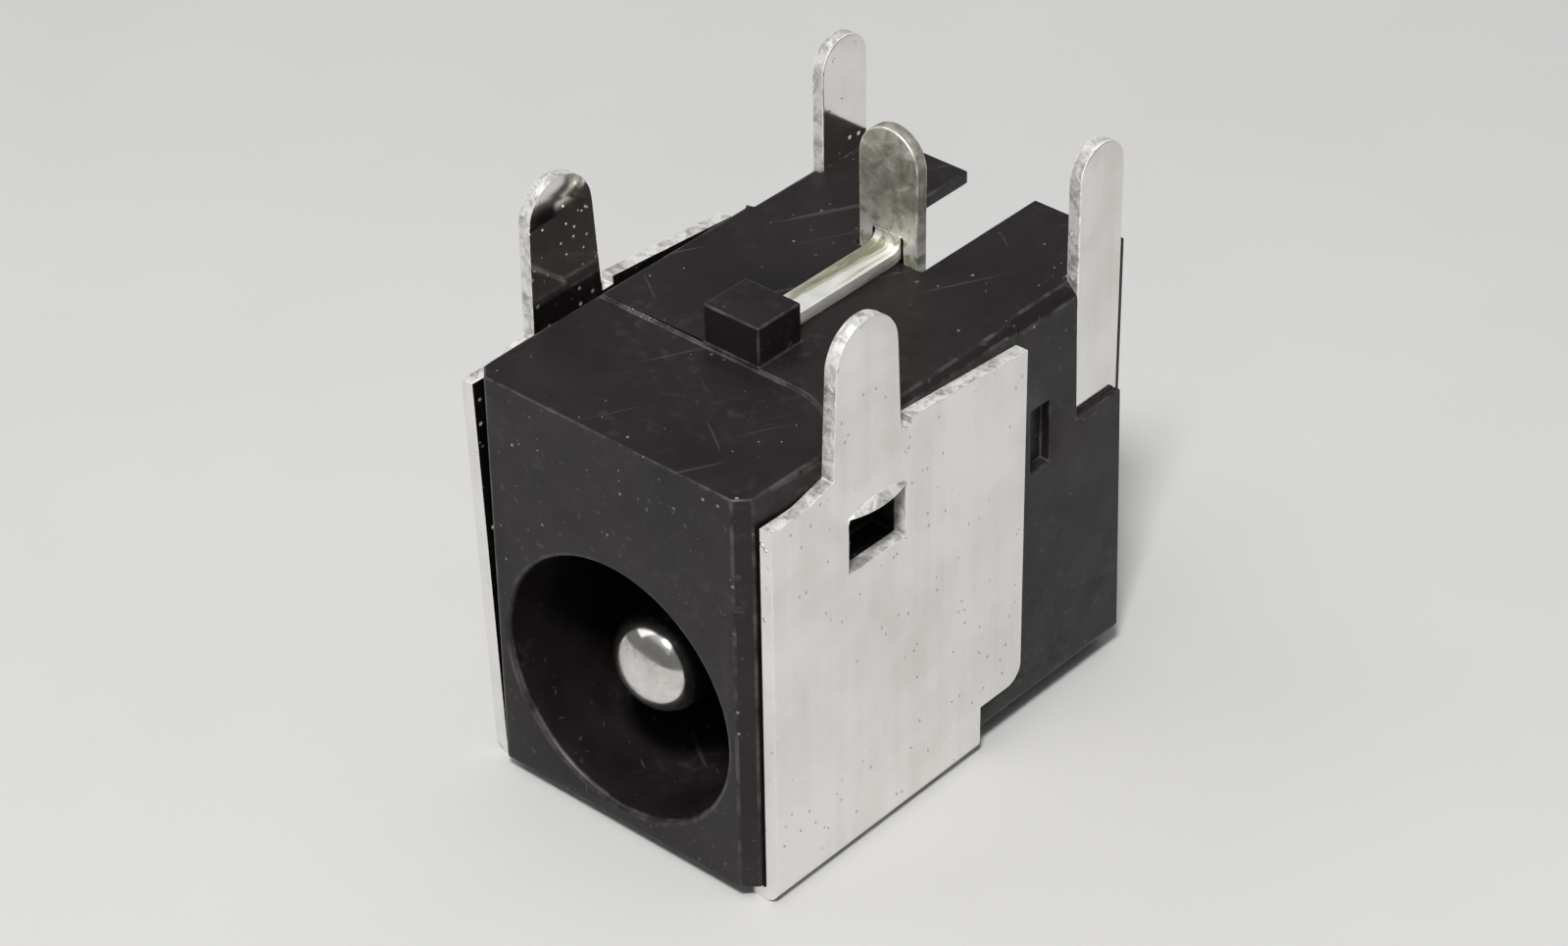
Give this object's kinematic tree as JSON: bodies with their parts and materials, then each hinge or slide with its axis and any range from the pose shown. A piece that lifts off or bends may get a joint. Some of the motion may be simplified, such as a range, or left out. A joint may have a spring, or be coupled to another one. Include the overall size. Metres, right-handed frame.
{
  "type": "dc barrel jack",
  "caption": "Board-mounted DC power jack: black moulded housing in a folded sheet shell, centre pin in a round socket, solder legs on one side.",
  "frame": {"origin": "outer face of the shell web, in the middle of the shell's front edge at the plug end", "axes": "+X to the right seen from the plug end, +Y from the plug end to the rear, +Z from the shell web towards the solder legs"},
  "size_m": [0.0098, 0.0138, 0.0147],
  "materials": {
    "black_plastic": "moulded black, faint grain and scratches",
    "tinned_sheet": "bright tin-plated sheet with sheared edges and small pits",
    "plated_pin": "polished nickel plate",
    "dull_plated_brass": "dull mottled tin over brass",
    "contact_strip": "bright tin-plated spring strip"
  },
  "bodies": {
    "root": {"housing": "black_plastic", "shell": "tinned_sheet", "centre_pin": "plated_pin", "centre_terminal": "dull_plated_brass", "sleeve_contact_left": "contact_strip", "sleeve_contact_right": "contact_strip"}
  },
  "joints": []
}
